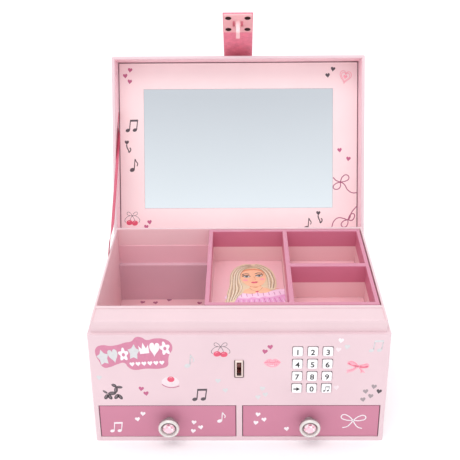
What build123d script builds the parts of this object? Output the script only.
from build123d import *
import os
from math import cos, radians, sin

# A lidded jewellery box with a code lock, a lift-out tray, two drawers and a mirror in its lid.
# Millimetres. X to the right, Y to the back, Z up, origin at the centre of the underside.
# The lid is drawn at the angle where its ribbon stay holds it open.

os.makedirs("parts", exist_ok=True)

# ---- Driving dimensions ----
width = 280.0
depth = 200.0
case_height = 123.0      # top of the outer walls, where the closed lid sits
rim_height = 136.0       # top of the inner rim that the lid drops over
lid_height = 36.0
lid_open = 112.3         # degrees
strap_open = 22.7        # degrees the strap stands off its hanging line

wall = 3.6               # side and back walls of the case
front_wall = 4.0
floor_wall = 3.0
rim_wall = 2.0
rim_back_wall = 3.4
corner_radius = 2.0
edge_radius = 0.6

drawer_sill = 4.5        # height of the rail below the drawer openings
drawer_opening_height = 38.0
drawer_opening_width = 132.4
drawer_x = 69.0          # middle of each drawer from the middle of the box
drawer_gap = 0.3         # between a drawer front and its opening
deck_bottom = 43.5
deck_top = 47.0

bay_depth = 22.0         # room for the lock and sound parts behind the front panel
bay_wall = 4.4
ledge_top = 135.0
ledge_thickness = 2.0
liner_top = 115.5
liner_wall = 1.0
card = 2.0

tray_left = -32.5
tray_right = 133.2
tray_bottom = 94.0
tray_middle = 116.5      # where the rose frame sits on the pink box
tray_top = 135.5

slot_z = 85.0            # height of the latch slot
slot_width = 4.5
slot_height = 15.2
key_pitch_x = 14.0
key_pitch_z = 13.85
keypad_x = 68.5
keypad_z = 83.8
key_hole = (10.0, 10.5)
key_cap = (9.2, 9.6)
key_flange = (11.6, 11.6)
key_proud = 1.5
key_travel = 1.2

# ---- Faces worked out from them ----
half = width / 2
front = -depth / 2
back = depth / 2
inner_x = half - wall
inner_back = back - wall
panel_back = front + front_wall
room_x = inner_x - rim_wall
room_back = inner_back - rim_back_wall
bay_back = panel_back + bay_depth
room_front = bay_back + bay_wall
liner_x = room_x - liner_wall
liner_back = room_back - liner_wall
card_top = deck_top + card
drawer_z = drawer_sill + drawer_opening_height / 2

# A face plane looks out of the front: its own x is X and its own y is Z.
front_face = Plane(origin=(0, front, 0), x_dir=(1, 0, 0), z_dir=(0, -1, 0))


def tilted(angle, origin):
    """A plane that keeps X, with its own y and z turned back about X by the angle."""
    turn = radians(angle)
    return Plane(origin=origin, x_dir=(1, 0, 0), z_dir=(0, sin(turn), cos(turn)))


def block(x, y, z, mode=Mode.ADD):
    """A square-cornered block between a low and a high value on each axis."""
    with Locations(((x[0] + x[1]) / 2, (y[0] + y[1]) / 2, (z[0] + z[1]) / 2)):
        Box(x[1] - x[0], y[1] - y[0], z[1] - z[0], mode=mode)


# ================= Case =================

# Floor, sides and back in one shell, open at the front
with BuildPart() as base_shell:
    block((-half, half), (panel_back, back), (0, case_height))
    fillet(base_shell.edges().filter_by(Axis.Z).group_by(Axis.Y)[-1], corner_radius)
    for face in (base_shell.faces().sort_by(Axis.Z)[0], base_shell.faces().sort_by(Axis.Z)[-1]):
        fillet(face.edges().sort_by(Axis.Y)[1:], edge_radius)
    block((-inner_x, inner_x), (panel_back, inner_back), (floor_wall, case_height), Mode.SUBTRACT)
base_shell.part.label = "base_shell"
export_step(base_shell.part, "parts/base_shell.step")

# Front panel with the two drawer openings, the latch slot and the key holes
sleeve_width = 7.0
sleeve_height = 17.0
post_x = (keypad_x - 26, keypad_x + 26)
post_z = (keypad_z - 26, keypad_z + 26)
posts = [(x, z) for x in post_x for z in post_z]
post_length = 6.6
post_radius = 3.0
board_screw_radius = 1.2
with BuildPart() as front_panel:
    with BuildSketch(front_face):
        with Locations((0, case_height / 2)):
            Rectangle(width, case_height)
        with Locations((-drawer_x, drawer_z), (drawer_x, drawer_z)):
            Rectangle(drawer_opening_width, drawer_opening_height, mode=Mode.SUBTRACT)
        with Locations((0, slot_z)):
            Rectangle(sleeve_width, sleeve_height, mode=Mode.SUBTRACT)
        with Locations((keypad_x, keypad_z)):
            with GridLocations(key_pitch_x, key_pitch_z, 3, 4):
                RectangleRounded(*key_hole, 1.0, mode=Mode.SUBTRACT)
    extrude(amount=-front_wall)
    fillet(front_panel.edges().filter_by(Axis.Z).group_by(Axis.X)[0].sort_by(Axis.Y)[0:1], corner_radius)
    fillet(front_panel.edges().filter_by(Axis.Z).group_by(Axis.X)[-1].sort_by(Axis.Y)[0:1], corner_radius)
    front_side = front_panel.faces().sort_by(Axis.Y)[0]
    fillet(front_side.edges().filter_by(lambda edge: abs(edge.center().X) > edge_radius + sleeve_width), edge_radius / 2)
    with BuildSketch(front_face.offset(-front_wall)):
        with Locations(*posts):
            Circle(post_radius)
            Circle(board_screw_radius + 0.05, mode=Mode.SUBTRACT)
    extrude(amount=-post_length)
front_panel.part.label = "front_panel"
export_step(front_panel.part, "parts/front_panel.step")

# Inner rim: it lines the sides and back, and stands above them for the lid to drop over
front_board_bottom = 113.0
ledge_bottom = ledge_top - ledge_thickness
with BuildPart() as neck_frame:
    block((-inner_x, inner_x), (panel_back, inner_back), (deck_top, rim_height))
    block((-room_x, room_x), (panel_back + rim_wall, room_back), (deck_top, rim_height), Mode.SUBTRACT)
    block((-room_x, room_x), (panel_back, bay_back), (deck_top, front_board_bottom), Mode.SUBTRACT)
    block((-room_x, room_x), (panel_back, bay_back), (ledge_bottom, rim_height), Mode.SUBTRACT)
    fillet(neck_frame.edges().group_by(Axis.Z)[-1], edge_radius)
neck_frame.part.label = "neck_frame"
export_step(neck_frame.part, "parts/neck_frame.step")

# The flat ledge over the lock and sound parts
with BuildPart() as ledge_cover:
    block((-room_x, room_x), (panel_back, bay_back), (ledge_bottom, ledge_top))
    fillet(ledge_cover.edges().filter_by(Axis.X).group_by(Axis.Y)[0].sort_by(Axis.Z)[-1:], edge_radius)
ledge_cover.part.label = "ledge_cover"
export_step(ledge_cover.part, "parts/ledge_cover.step")

# Wall between that bay and the jewellery room, with the battery door and the sound holes
battery_x = (-117.4, -52.6)
battery_z = (57.6, 106.4)
battery_lip = 2.4
door_thickness = 2.0
door_tab = 8.5
door_x = (battery_x[0] - battery_lip, battery_x[1] + battery_lip + door_tab)
door_z = (battery_z[0] - battery_lip, battery_z[1] + battery_lip)
door_screw = (door_x[1] - 4.5, (door_z[0] + door_z[1]) / 2)
door_screw_radius = 1.5
speaker_at = (112.0, 84.0)
with BuildPart() as inner_front_wall:
    block((-room_x, room_x), (bay_back, room_front), (deck_top, rim_height))
    fillet(inner_front_wall.edges().filter_by(Axis.X).group_by(Axis.Z)[-1], edge_radius)
    block(battery_x, (bay_back, room_front), battery_z, Mode.SUBTRACT)
    block(door_x, (room_front - door_thickness, room_front), door_z, Mode.SUBTRACT)
    with BuildSketch(Plane(origin=(0, room_front, 0), x_dir=(1, 0, 0), z_dir=(0, -1, 0))):
        with Locations(door_screw):
            Circle(door_screw_radius + 0.05)
        with Locations(speaker_at):
            Circle(2.0)
            with PolarLocations(7.0, 6):
                Circle(2.0)
            with PolarLocations(13.5, 12):
                Circle(2.0)
    extrude(amount=bay_wall, mode=Mode.SUBTRACT)
inner_front_wall.part.label = "inner_front_wall"
export_step(inner_front_wall.part, "parts/inner_front_wall.step")

# Shelf over the drawers
with BuildPart() as drawer_deck:
    block((-inner_x, inner_x), (panel_back, inner_back), (deck_bottom, deck_top))
drawer_deck.part.label = "drawer_deck"
export_step(drawer_deck.part, "parts/drawer_deck.step")

partition = 3.0
with BuildPart() as drawer_partition:
    block((-partition / 2, partition / 2), (panel_back, inner_back), (floor_wall, deck_bottom))
drawer_partition.part.label = "drawer_partition"
export_step(drawer_partition.part, "parts/drawer_partition.step")

# Four strips that carry the drawers over the front sill
runner_width = 8.0
runner_top = drawer_sill + 0.1
runner_spread = 50.0
with BuildPart() as drawer_runners:
    for middle in (-drawer_x, drawer_x):
        for side in (-runner_spread, runner_spread):
            x = middle + side
            block((x - runner_width / 2, x + runner_width / 2), (panel_back, 90), (floor_wall, runner_top))
drawer_runners.part.label = "drawer_runners"
export_step(drawer_runners.part, "parts/drawer_runners.step")

# Boards that the tray rests on, along the back wall and the front of the room
rail = 5.4
rail_top = tray_bottom - 0.1
with BuildPart() as tray_rails:
    block((-room_x, liner_x), (liner_back - rail, liner_back), (card_top, rail_top))
    fillet(tray_rails.edges().filter_by(Axis.X).group_by(Axis.Z)[-1].sort_by(Axis.Y)[0:1], edge_radius)
    block((tray_left, liner_x), (room_front, room_front + rail), (card_top, rail_top))
    fillet(tray_rails.edges().filter_by(Axis.X).group_by(Axis.Z)[-1].sort_by(Axis.Y)[1:2], edge_radius)
tray_rails.part.label = "tray_rails"
export_step(tray_rails.part, "parts/tray_rails.step")

# Thin lining on the back and right walls, whose top edge shows as a line
with BuildPart() as inner_liner:
    block((-room_x, room_x), (room_front, room_back), (deck_top, liner_top))
    block((-room_x, liner_x), (room_front, liner_back), (deck_top, liner_top), Mode.SUBTRACT)
inner_liner.part.label = "inner_liner"
export_step(inner_liner.part, "parts/inner_liner.step")

with BuildPart() as floor_card:
    block((-room_x, liner_x), (room_front, liner_back), (deck_top, card_top))
floor_card.part.label = "floor_card"
export_step(floor_card.part, "parts/floor_card.step")

# Cloth hinge, the half glued to the back of the case
tape_half = 120.0
tape_thickness = 0.4
tape_reach = 18.0
tape_start = 1.0         # the halves stop short of the hinge line
with BuildPart() as hinge_tape_base:
    block((-tape_half, tape_half), (back, back + tape_thickness),
          (case_height - tape_reach, case_height - tape_start))
hinge_tape_base.part.label = "hinge_tape_base"
export_step(hinge_tape_base.part, "parts/hinge_tape_base.step")

# ================= Lock and sound parts =================

bezel_width = 9.2
bezel_height = 19.6
bezel_proud = 0.7
with BuildPart() as slot_bezel:
    with BuildSketch(front_face):
        with Locations((0, slot_z)):
            RectangleRounded(bezel_width, bezel_height, 1.0)
            Rectangle(slot_width, slot_height, mode=Mode.SUBTRACT)
    extrude(amount=bezel_proud)
    with BuildSketch(front_face):
        with Locations((0, slot_z)):
            Rectangle(sleeve_width, sleeve_height)
            Rectangle(slot_width, slot_height, mode=Mode.SUBTRACT)
    extrude(amount=-front_wall)
    fillet(slot_bezel.faces().sort_by(Axis.Y)[0].outer_wire().edges(), 0.3)
slot_bezel.part.label = "slot_bezel"
export_step(slot_bezel.part, "parts/slot_bezel.step")

# Bolt: a flat bar that crosses the slot, a shoulder that the spring pushes, and a round tail
bolt_y = -92.8
bolt_section = (3.2, 4.6)
bolt_travel = 5.0
bolt_tip = 2.6
housing_half = 11.0
tail_radius = 1.4
shoulder_far = -(housing_half + 2.2)
coil_far = -26.0
with BuildPart() as latch_bolt:
    block((shoulder_far, bolt_tip), (bolt_y - bolt_section[0] / 2, bolt_y + bolt_section[0] / 2),
          (slot_z - bolt_section[1] / 2, slot_z + bolt_section[1] / 2))
    chamfer(latch_bolt.edges().filter_by(Axis.Z).group_by(Axis.X)[-1].sort_by(Axis.Y)[0:1], 1.2)
    block((shoulder_far, -housing_half - 0.2), (bolt_y - 2.7, bolt_y + 2.7), (slot_z - 4, slot_z + 4))
    with BuildSketch(Plane(origin=(shoulder_far, bolt_y, slot_z), z_dir=(-1, 0, 0))):
        Circle(tail_radius)
    extrude(amount=24)
latch_bolt.part.label = "latch_bolt"
export_step(latch_bolt.part, "parts/latch_bolt.step")

# Housing behind the slot; the bolt slides in its side wall
with BuildPart() as latch_housing:
    block((-housing_half, housing_half), (panel_back, -82), (slot_z - 16, slot_z + 16))
    block((-3, 3), (panel_back, -84), (slot_z - 8.6, slot_z + 8.6), Mode.SUBTRACT)
    block((-housing_half, 0), (bolt_y - bolt_section[0] / 2 - 0.05, bolt_y + bolt_section[0] / 2 + 0.05),
          (slot_z - bolt_section[1] / 2 - 0.05, slot_z + bolt_section[1] / 2 + 0.05), Mode.SUBTRACT)
latch_housing.part.label = "latch_housing"
export_step(latch_housing.part, "parts/latch_housing.step")

# Electromagnet that draws the bolt back when the right code is keyed
with BuildPart() as lock_solenoid:
    block((coil_far - 24, coil_far), (panel_back + 0.2, -84), (slot_z - 7, slot_z + 7))
    fillet(lock_solenoid.edges().filter_by(Axis.X), 1.0)
    with BuildSketch(Plane(origin=(coil_far, bolt_y, slot_z), z_dir=(-1, 0, 0))):
        Circle(tail_radius + 0.1)
    extrude(amount=20, mode=Mode.SUBTRACT)
lock_solenoid.part.label = "lock_solenoid"
export_step(lock_solenoid.part, "parts/lock_solenoid.step")

# Return spring round the bolt's tail
wire = 0.6
spring_radius = 2.2
spring_length = shoulder_far - coil_far - wire - 0.2
spring_start = shoulder_far - wire / 2 - 0.1
with BuildPart() as bolt_spring:
    with BuildLine() as spring_line:
        Helix(pitch=spring_length / 6, height=spring_length, radius=spring_radius,
              center=(spring_start, bolt_y, slot_z), direction=(-1, 0, 0))
    with BuildSketch(Plane(origin=spring_line.line @ 0, z_dir=spring_line.line % 0)):
        Circle(wire / 2)
    sweep(path=spring_line.line, is_frenet=True)
bolt_spring.part.label = "bolt_spring"
export_step(bolt_spring.part, "parts/bolt_spring.step")

# Circuit board on four posts behind the keys, with its chips
board_front = panel_back + post_length
board = 1.6
with BuildPart() as control_board:
    with BuildSketch(Plane(origin=(0, board_front, 0), x_dir=(-1, 0, 0), z_dir=(0, 1, 0))):
        with Locations((-keypad_x, keypad_z)):
            RectangleRounded(58, 58, 1.5)
        with Locations(*[(-x, z) for x, z in posts]):
            Circle(board_screw_radius + 0.15, mode=Mode.SUBTRACT)
    extrude(amount=board)
    with BuildSketch(Plane(origin=(0, board_front + board, 0), x_dir=(-1, 0, 0), z_dir=(0, 1, 0))):
        with Locations((-keypad_x, keypad_z)):
            Rectangle(12, 12)
        with Locations((-keypad_x + 15, keypad_z - 16), (-keypad_x - 10, keypad_z + 18)):
            Rectangle(10, 5)
    extrude(amount=1.6)
control_board.part.label = "control_board"
export_step(control_board.part, "parts/control_board.step")

with BuildPart() as board_screws:
    for x, z in posts:
        screw_face = Plane(origin=(x, board_front + board, z), z_dir=(0, 1, 0))
        with BuildSketch(screw_face):
            Circle(2.2)
        extrude(amount=1.5)
        with BuildSketch(screw_face):
            Circle(board_screw_radius)
        extrude(amount=-6)
board_screws.part.label = "board_screws"
export_step(board_screws.part, "parts/board_screws.step")

# Rubber mat with a dome behind every key
mat = 1.6
dome_front = panel_back + 2.5
with BuildPart() as key_mat:
    block((keypad_x - 22, keypad_x + 22), (board_front - mat, board_front), (keypad_z - 28, keypad_z + 28))
    with BuildSketch(Plane(origin=(0, board_front - mat, 0), x_dir=(1, 0, 0), z_dir=(0, -1, 0))):
        with Locations((keypad_x, keypad_z)):
            with GridLocations(key_pitch_x, key_pitch_z, 3, 4):
                Circle(3.2)
    extrude(amount=board_front - mat - dome_front, taper=15)
key_mat.part.label = "key_mat"
export_step(key_mat.part, "parts/key_mat.step")

# Keys: a cap through the panel and a flange that keeps it in
key_names = (("1", "2", "3"), ("4", "5", "6"), ("7", "8", "9"), ("play", "0", "note"))
for row, names in enumerate(key_names):
    for column, name in enumerate(names):
        x = keypad_x + (column - 1) * key_pitch_x
        z = keypad_z + (1.5 - row) * key_pitch_z
        with BuildPart() as key:
            with BuildSketch(front_face.offset(key_proud)):
                with Locations((x, z)):
                    RectangleRounded(*key_cap, 1.4)
            extrude(amount=-(key_proud + front_wall + 0.1))
            fillet(key.faces().sort_by(Axis.Y)[0].edges(), 0.5)
            with BuildSketch(front_face.offset(-front_wall - 0.1)):
                with Locations((x, z)):
                    Rectangle(*key_flange)
            extrude(amount=-1.0)
        key.part.label = f"key_{name}"
        export_step(key.part, f"parts/key_{name}.step")

# Small loudspeaker behind the sound holes
with BuildPart() as speaker:
    with BuildSketch(Plane(origin=(speaker_at[0], bay_back, speaker_at[1]), z_dir=(0, -1, 0))):
        Circle(18)
    extrude(amount=4)
    fillet(speaker.faces().sort_by(Axis.Y)[0].edges(), 1.0)
    with BuildSketch(Plane(origin=(speaker_at[0], bay_back - 4, speaker_at[1]), z_dir=(0, -1, 0))):
        Circle(9)
    extrude(amount=6)
speaker.part.label = "speaker"
export_step(speaker.part, "parts/speaker.step")

# Battery box behind its door, three cells lying along X
box_wall = 1.6
box_front = bay_back - 19.0
with BuildPart() as battery_box:
    block((battery_x[0] - box_wall, battery_x[1] + box_wall), (box_front, bay_back),
          (battery_z[0] - box_wall, battery_z[1] + box_wall))
    block(battery_x, (box_front + box_wall, bay_back), battery_z, Mode.SUBTRACT)
battery_box.part.label = "battery_box"
export_step(battery_box.part, "parts/battery_box.step")

cell_length = 50.0
cell_radius = 7.1
cell_pitch = 15.5
cell_y = -83.5
with BuildPart() as battery_cells:
    for step in (-1, 0, 1):
        start_x = (battery_x[0] + battery_x[1] - cell_length) / 2
        cell_z = (battery_z[0] + battery_z[1]) / 2 + step * cell_pitch
        with BuildSketch(Plane(origin=(start_x, cell_y, cell_z), z_dir=(1, 0, 0))):
            Circle(cell_radius)
        extrude(amount=cell_length)
        with BuildSketch(Plane(origin=(start_x + cell_length, cell_y, cell_z), z_dir=(1, 0, 0))):
            Circle(2.7)
        extrude(amount=1.2)
battery_cells.part.label = "battery_cells"
export_step(battery_cells.part, "parts/battery_cells.step")

door_ease = 0.3
with BuildPart() as battery_door:
    block((door_x[0] + door_ease, door_x[1] - door_ease), (room_front - door_thickness, room_front),
          (door_z[0] + door_ease, door_z[1] - door_ease))
    with BuildSketch(Plane(origin=(door_screw[0], room_front, door_screw[1]), z_dir=(0, -1, 0))):
        Circle(door_screw_radius + 0.2)
    extrude(amount=door_thickness, mode=Mode.SUBTRACT)
battery_door.part.label = "battery_door"
export_step(battery_door.part, "parts/battery_door.step")

with BuildPart() as battery_door_screw:
    with BuildSketch(Plane(origin=(door_screw[0], room_front, door_screw[1]), z_dir=(0, 1, 0))):
        Circle(2.8)
    extrude(amount=1.4)
    with BuildSketch(Plane(origin=(door_screw[0], room_front, door_screw[1]), z_dir=(0, 1, 0))):
        Circle(door_screw_radius)
    extrude(amount=-7)
battery_door_screw.part.label = "battery_door_screw"
export_step(battery_door_screw.part, "parts/battery_door_screw.step")

# ================= Lift-out tray =================

tray_front = room_front + 1.6
tray_back = room_back - 1.0
bar_left = tray_left + 4.4
bar_right = tray_right - 3.9
middle_bar = (48.0, 52.8)
cross_bar = (7.0, 13.6)
pocket_y = (tray_front + 5.0, tray_back - 5.0)
pockets = (
    ((bar_left, middle_bar[0]), pocket_y),
    ((middle_bar[1], bar_right), (pocket_y[0], cross_bar[0])),
    ((middle_bar[1], bar_right), (cross_bar[1], pocket_y[1])),
)

# Rose frame round the top of the compartments
with BuildPart() as tray_frame:
    block((tray_left, tray_right), (tray_front, tray_back), (tray_middle, tray_top))
    for pocket_x, span in pockets:
        block(pocket_x, span, (tray_middle, tray_top), Mode.SUBTRACT)
    fillet(tray_frame.edges().group_by(Axis.Z)[-1], edge_radius)
tray_frame.part.label = "tray_frame"
export_step(tray_frame.part, "parts/tray_frame.step")

# Pink box below the frame, a little smaller outside
overhang = 0.9
tray_floor = 3.6
with BuildPart() as tray_box:
    block((tray_left + overhang, tray_right - overhang), (tray_front + overhang, tray_back - overhang),
          (tray_bottom, tray_middle))
    for pocket_x, span in pockets:
        block(pocket_x, span, (tray_bottom + tray_floor, tray_middle), Mode.SUBTRACT)
tray_box.part.label = "tray_box"
export_step(tray_box.part, "parts/tray_box.step")

# Printed card in the floor of each compartment
with BuildPart() as tray_floor_card:
    for pocket_x, span in pockets:
        block((pocket_x[0] + 0.2, pocket_x[1] - 0.2), (span[0] + 0.2, span[1] - 0.2),
              (tray_bottom + tray_floor, tray_bottom + tray_floor + 1.0))
tray_floor_card.part.label = "tray_floor_card"
export_step(tray_floor_card.part, "parts/tray_floor_card.step")

# ================= Drawers =================

drawer_recess = 0.6
drawer_front_y = front + drawer_recess
drawer_front_thickness = 4.0
tray_wall = 2.0
tray_bottom_z = runner_top + 0.1
tray_half = drawer_opening_width / 2 - 0.8
drawer_back = 88.0
knob_x = 67.5
knob_radius = 10.25
knob_screw_radius = 1.9
knob_cup = -11.0         # floor of the dish that the gem is set in


def drawer(side, name):
    """One drawer: its front, its tray, and the knob with its gem and screw."""
    middle = side * drawer_x
    knob_at = side * knob_x
    inside_y = drawer_front_y + drawer_front_thickness
    face_half = drawer_opening_width / 2 - drawer_gap

    with BuildPart() as drawer_front:
        block((middle - face_half, middle + face_half), (drawer_front_y, inside_y),
              (drawer_sill + drawer_gap, drawer_sill + drawer_opening_height - drawer_gap))
        fillet(drawer_front.faces().sort_by(Axis.Y)[0].edges(), 0.5)
        with BuildSketch(Plane(origin=(knob_at, drawer_front_y, drawer_z), z_dir=(0, 1, 0))):
            Circle(knob_screw_radius + 0.2)
        extrude(amount=drawer_front_thickness, mode=Mode.SUBTRACT)
    drawer_front.part.label = f"{name}_drawer_front"
    export_step(drawer_front.part, f"parts/{name}_drawer_front.step")

    with BuildPart() as drawer_tray:
        block((middle - tray_half, middle + tray_half), (inside_y, drawer_back), (tray_bottom_z, 38))
        block((middle - tray_half + tray_wall, middle + tray_half - tray_wall),
              (inside_y, drawer_back - tray_wall), (tray_bottom_z + tray_wall, 38), Mode.SUBTRACT)
        rims = drawer_tray.faces().sort_by(Axis.Z)[-1].edges()
        fillet(rims.filter_by(lambda edge: edge.center().Y > inside_y + 1), 0.5)
    drawer_tray.part.label = f"{name}_drawer_tray"
    export_step(drawer_tray.part, f"parts/{name}_drawer_tray.step")

    # Knob: a foot, a neck and a dished disc, turned about an axis along Y
    profile_plane = Plane(origin=(knob_at, drawer_front_y, drawer_z), x_dir=(1, 0, 0), z_dir=(0, 0, 1))
    with BuildPart() as knob_body:
        with BuildSketch(profile_plane):
            with BuildLine():
                Polyline((0, -8.2), (knob_screw_radius + 0.05, -8.2), (knob_screw_radius + 0.05, 0),
                         (5.2, 0), (5.2, -1.2))
                Spline((5.2, -1.2), (3.8, -3.2), (5.0, -5.4), (9.2, -7.4))
                Spline((9.2, -7.4), (knob_radius, -9.4), (9.7, -13.0), (8.2, -13.6))
                Polyline((8.2, -13.6), (7.0, knob_cup), (0, knob_cup), (0, -8.2))
            make_face()
        revolve(axis=Axis((knob_at, drawer_front_y, drawer_z), (0, 1, 0)))
    knob_body.part.label = f"{name}_knob_body"
    export_step(knob_body.part, f"parts/{name}_knob_body.step")

    # Cut stone: a girdle, then a crown that narrows to a flat table
    gem_foot = Plane(origin=(knob_at, drawer_front_y + knob_cup - 0.05, drawer_z), x_dir=(1, 0, 0), z_dir=(0, -1, 0))
    with BuildPart() as knob_gem:
        with BuildSketch(gem_foot):
            RegularPolygon(5.9, 8)
        extrude(amount=1.0)
        with BuildSketch(gem_foot.offset(1.0)):
            RegularPolygon(5.9, 8)
        with BuildSketch(gem_foot.offset(3.2)):
            RegularPolygon(3.4, 8)
        loft()
    knob_gem.part.label = f"{name}_knob_gem"
    export_step(knob_gem.part, f"parts/{name}_knob_gem.step")

    with BuildPart() as knob_screw:
        screw_face = Plane(origin=(knob_at, inside_y, drawer_z), z_dir=(0, 1, 0))
        with BuildSketch(screw_face):
            Circle(3.6)
        extrude(amount=2.4)
        fillet(knob_screw.faces().sort_by(Axis.Y)[-1].edges(), 0.8)
        with BuildSketch(screw_face):
            Circle(knob_screw_radius)
        extrude(amount=-11.5)
    knob_screw.part.label = f"{name}_knob_screw"
    export_step(knob_screw.part, f"parts/{name}_knob_screw.step")


drawer(-1, "left")
drawer(1, "right")

# ================= Lid =================
# Its own frame: x along the hinge, y from the hinge (0) to the front edge (-depth) and z from
# the rim (0) to the top, so the numbers are those of the closed lid.

hinge = (0, back, case_height)
lid = tilted(lid_open, hinge)
lid_up = Axis(hinge, lid.z_dir)
lid_wall = 3.2
lid_lift = 0.2           # gap between the closed lid and the case
lid_ceiling = 33.0
panel_face = 30.6
panel_x = 136.3
panel_y = (-196.3, -3.7)
mirror_x = 108.0
mirror_y = (-166.3, -30.3)
mirror_face = 30.5
mirror_back = 31.8

with BuildPart(lid) as lid_shell:
    block((-half, half), (-depth, 0), (lid_lift, lid_height))
    fillet(lid_shell.edges().filter_by(lid_up), corner_radius)
    fillet(lid_shell.faces().sort_by(lid_up)[-1].edges(), 1.0)
    block((-half + lid_wall, half - lid_wall), (-depth + lid_wall, -lid_wall),
          (lid_lift, lid_ceiling), Mode.SUBTRACT)
    fillet(lid_shell.faces().sort_by(lid_up)[0].edges(), edge_radius)
lid_shell.part.label = "lid_shell"
export_step(lid_shell.part, "parts/lid_shell.step")

# Printed panel with a pocket for the mirror
with BuildPart(lid) as lid_panel:
    block((-panel_x, panel_x), panel_y, (panel_face, lid_ceiling))
    block((-mirror_x - 0.2, mirror_x + 0.2), (mirror_y[0] - 0.2, mirror_y[1] + 0.2),
          (panel_face, mirror_back), Mode.SUBTRACT)
lid_panel.part.label = "lid_panel"
export_step(lid_panel.part, "parts/lid_panel.step")

with BuildPart(lid) as mirror:
    block((-mirror_x, mirror_x), mirror_y, (mirror_face, mirror_back))
mirror.part.label = "mirror"
export_step(mirror.part, "parts/mirror.step")

with BuildPart(lid) as hinge_tape_lid:
    block((-tape_half, tape_half), (0, tape_thickness), (tape_start, tape_reach))
hinge_tape_lid.part.label = "hinge_tape_lid"
export_step(hinge_tape_lid.part, "parts/hinge_tape_lid.step")

# ================= Strap and latch =================

strap_half = 16.0
strap_thickness = 1.6
strap_length = 91.5
fold_y = -depth - 1.0

# The end of the strap that is glued to the lid's top
with BuildPart(lid) as strap_anchor:
    block((-strap_half, strap_half), (-depth + 1.0, -170), (lid_height, lid_height + strap_thickness))
strap_anchor.part.label = "strap_anchor"
export_step(strap_anchor.part, "parts/strap_anchor.step")

# The free flap, in a frame with z up along the flap to the fold and y towards its inner side
strap = tilted(lid_open + strap_open, lid.from_local_coords((0, fold_y, lid_height)))
strap_up = Axis(strap.origin, strap.z_dir)
strap_inward = Axis(strap.origin, strap.y_dir)
flap_inside = -1.6
flap_outside = flap_inside - strap_thickness
plate_face = 0.1
plate_half = 15.25
plate_z = (-91.0, -57.0)
catch_z = slot_z - case_height - lid_height      # the slot's height, from the fold
screw_spread = (20.4, 22.0)
latch_screw_radius = 1.5
inner_side = Plane(origin=strap.from_local_coords((0, plate_face, catch_z)),
                   x_dir=(1, 0, 0), z_dir=strap.y_dir)

with BuildPart(strap) as strap_flap:
    block((-strap_half, strap_half), (flap_outside, flap_inside), (-strap_length, -0.8))
    fillet(strap_flap.edges().filter_by(strap_inward).group_by(strap_up)[0], 2.0)
    with BuildSketch(inner_side):
        with GridLocations(screw_spread[0], screw_spread[1], 2, 2):
            Circle(latch_screw_radius + 0.1)
    extrude(amount=-6, mode=Mode.SUBTRACT)
strap_flap.part.label = "strap_flap"
export_step(strap_flap.part, "parts/strap_flap.step")

with BuildPart(strap) as latch_plate:
    block((-plate_half, plate_half), (flap_inside, plate_face), plate_z)
    fillet(latch_plate.edges().filter_by(strap_inward), 1.5)
    with BuildSketch(inner_side):
        with GridLocations(screw_spread[0], screw_spread[1], 2, 2):
            Circle(latch_screw_radius + 0.1)
        with Locations((-4.4, 0.0), (4.4, 0.0)):
            RectangleRounded(2.2, 11.0, 0.5)
    extrude(amount=-6, mode=Mode.SUBTRACT)
    with BuildSketch(inner_side):
        with GridLocations(screw_spread[0], screw_spread[1], 2, 2):
            Circle(3.4)
    extrude(amount=-0.8, mode=Mode.SUBTRACT)
    fillet(latch_plate.faces().sort_by(strap_inward)[-1].outer_wire().edges(), 0.4)
latch_plate.part.label = "latch_plate"
export_step(latch_plate.part, "parts/latch_plate.step")

# Tongue that enters the slot, with the window that the bolt crosses
tongue_half = 2.0
tongue_length = 14.4
tongue_height = 14.0
window_y = (6.1, 10.3)
window_height = 6.2
with BuildPart(strap) as latch_tongue:
    block((-tongue_half, tongue_half), (plate_face, plate_face + tongue_length),
          (catch_z - tongue_height / 2, catch_z + tongue_height / 2))
    fillet(latch_tongue.edges().filter_by(Axis.X).group_by(strap_inward)[-1], 2.0)
    block((-tongue_half, tongue_half), window_y,
          (catch_z - window_height / 2, catch_z + window_height / 2), Mode.SUBTRACT)
latch_tongue.part.label = "latch_tongue"
export_step(latch_tongue.part, "parts/latch_tongue.step")

with BuildPart() as latch_screws:
    with BuildSketch(inner_side.offset(-0.1)):
        with GridLocations(screw_spread[0], screw_spread[1], 2, 2):
            Circle(3.2)
            Rectangle(5.2, 0.7, mode=Mode.SUBTRACT)
    extrude(amount=-0.6)
    with BuildSketch(inner_side.offset(-0.5)):
        with GridLocations(screw_spread[0], screw_spread[1], 2, 2):
            Circle(latch_screw_radius)
    extrude(amount=-2.6)
latch_screws.part.label = "latch_screws"
export_step(latch_screws.part, "parts/latch_screws.step")

# ================= Ribbon stay =================
# Taut between the lid's left wall and the outside of the rim, in the gap between them.

ribbon_width = 6.0
ribbon_thickness = 0.3
ribbon_x = -inner_x - 0.35
ribbon_low = Vector(ribbon_x, 26.0, 127.1)
ribbon_high = lid.from_local_coords((ribbon_x, -139.6, panel_face - 0.6))
run = ribbon_high - ribbon_low
with BuildPart() as ribbon_stay:
    with BuildSketch(Plane(origin=(ribbon_low + ribbon_high) / 2, x_dir=run, z_dir=(1, 0, 0))):
        Rectangle(run.length, ribbon_width)
    extrude(amount=ribbon_thickness)
ribbon_stay.part.label = "ribbon_stay"
export_step(ribbon_stay.part, "parts/ribbon_stay.step")
